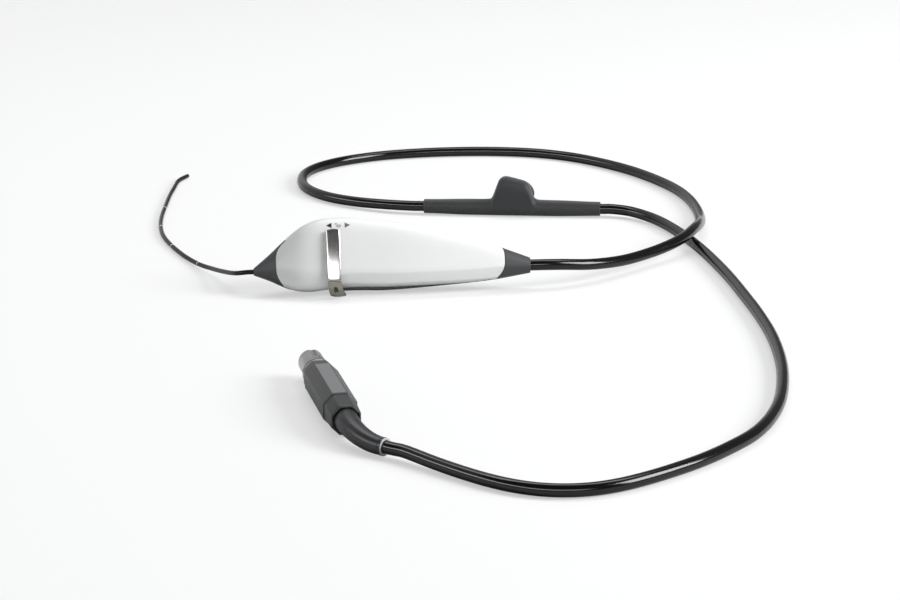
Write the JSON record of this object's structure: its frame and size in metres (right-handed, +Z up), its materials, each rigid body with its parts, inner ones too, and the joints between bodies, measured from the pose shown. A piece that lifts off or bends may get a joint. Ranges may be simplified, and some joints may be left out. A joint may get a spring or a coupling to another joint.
{
  "type": "flexible endoscope",
  "caption": "Slim flexible video endoscope with a lever handle, bending tip, insertion tube, and a cable with an in-line vent port and plug.",
  "frame": {"origin": "on the table, under the middle of the handle's box, measured without the tubes, cable, port and plug", "axes": "+X along the handle from the nose towards the cable, +Z up, +Y behind the lever's face"},
  "size_m": [0.3393, 0.7244, 0.0428],
  "materials": {
    "black_jacket": "glossy jacket",
    "board_green": "solder mask",
    "brass": "turned",
    "dark_shell": "fine matt",
    "grey_cone": "soft matt",
    "lens_glass": "polished",
    "plug_grey": "fine matt",
    "satin_steel": "satin",
    "white_shell": "semi-gloss moulded"
  },
  "bodies": {
    "root": {"back_shell": "dark_shell", "bend_collar": "satin_steel", "board_connector": "dark_shell", "boot_ring": "plug_grey", "cable_front": "black_jacket", "cable_lead": "black_jacket", "cable_rear": "black_jacket", "chassis_plate": "satin_steel", "circuit_board": "board_green", "cover_screw_1": "satin_steel", "cover_screw_2": "satin_steel", "cover_screw_3": "satin_steel", "front_shell": "white_shell", "insertion_tube": "black_jacket", "lever_bush": "brass", "nose_cone": "grey_cone", "plug_boot": "plug_grey", "plug_collar": "grey_cone", "plug_grip": "plug_grey", "plug_insert": "dark_shell", "plug_nose": "satin_steel", "port_housing": "grey_cone", "tail_cone": "grey_cone", "vent_socket": "satin_steel", "vent_spring": "satin_steel", "wire_guide": "brass"},
    "lever": {"lever_arm": "satin_steel", "thumb_rest": "satin_steel", "lever_shaft": "satin_steel", "wire_drum": "brass", "shaft_clip": "satin_steel"},
    "wire_up": {"pull_wire_up": "satin_steel"},
    "wire_down": {"pull_wire_down": "satin_steel"},
    "vent_pin": {"vent_pin": "satin_steel"},
    "bend_1": {"vertebra_1": "satin_steel"},
    "bend_2": {"vertebra_2": "satin_steel"},
    "bend_3": {"vertebra_3": "satin_steel"},
    "bend_4": {"vertebra_4": "satin_steel"},
    "bend_5": {"vertebra_5": "satin_steel"},
    "bend_6": {"distal_head": "satin_steel", "objective_lens": "lens_glass", "light_lens_left": "lens_glass", "light_lens_right": "lens_glass"}
  },
  "joints": [
    {"name": "lever_turn", "type": "hinge", "parent": "root", "child": "lever", "pos_m": [-0.0332, 0.0005, 0.01892], "axis": [0, -0.9135, 0.4067], "range_deg": [-20, 20]},
    {"name": "wire_up_slide", "type": "slide", "parent": "root", "child": "wire_up", "axis": [0.9053, 0.1727, 0.388], "range_m": [-0.0025, 0.0025]},
    {"name": "wire_down_slide", "type": "slide", "parent": "root", "child": "wire_down", "axis": [1, 0.0008, 0.0017], "range_m": [-0.0025, 0.0025]},
    {"name": "bend_hinge_1", "type": "hinge", "parent": "root", "child": "bend_1", "pos_m": [-0.12676, 0.28444, 0.00145], "axis": [0, 0, 1], "range_deg": [-22, 22]},
    {"name": "bend_hinge_2", "type": "hinge", "parent": "bend_1", "child": "bend_2", "pos_m": [-0.12632, 0.2871, 0.00145], "axis": [0, 0, 1], "range_deg": [-22, 22]},
    {"name": "bend_hinge_3", "type": "hinge", "parent": "bend_2", "child": "bend_3", "pos_m": [-0.12573, 0.28974, 0.00145], "axis": [0, 0, 1], "range_deg": [-22, 22]},
    {"name": "bend_hinge_4", "type": "hinge", "parent": "bend_3", "child": "bend_4", "pos_m": [-0.12499, 0.29233, 0.00145], "axis": [0, 0, 1], "range_deg": [-22, 22]},
    {"name": "bend_hinge_5", "type": "hinge", "parent": "bend_4", "child": "bend_5", "pos_m": [-0.12409, 0.29488, 0.00145], "axis": [0, 0, 1], "range_deg": [-22, 22]},
    {"name": "bend_hinge_6", "type": "hinge", "parent": "bend_5", "child": "bend_6", "pos_m": [-0.12305, 0.29737, 0.00145], "axis": [0, 0, 1], "range_deg": [-22, 22]},
    {"name": "vent_pin_press", "type": "slide", "parent": "root", "child": "vent_pin", "axis": [-0.1754, -0.9845, 0], "range_m": [0, 0.0015], "stiffness_N_per_m": 150, "springref_m": -0.001, "deforming": ["vent_spring"]}
  ],
  "couplings": [
    {"joint": "wire_up_slide", "follows": "lever_turn", "m_per_rad": -0.00685},
    {"joint": "wire_down_slide", "follows": "lever_turn", "m_per_rad": 0.00685},
    {"joint": "bend_hinge_1", "follows": "lever_turn", "ratio": 1.0833},
    {"joint": "bend_hinge_2", "follows": "lever_turn", "ratio": 1.0833},
    {"joint": "bend_hinge_3", "follows": "lever_turn", "ratio": 1.0833},
    {"joint": "bend_hinge_4", "follows": "lever_turn", "ratio": 1.0833},
    {"joint": "bend_hinge_5", "follows": "lever_turn", "ratio": 1.0833},
    {"joint": "bend_hinge_6", "follows": "lever_turn", "ratio": 1.0833}
  ]
}
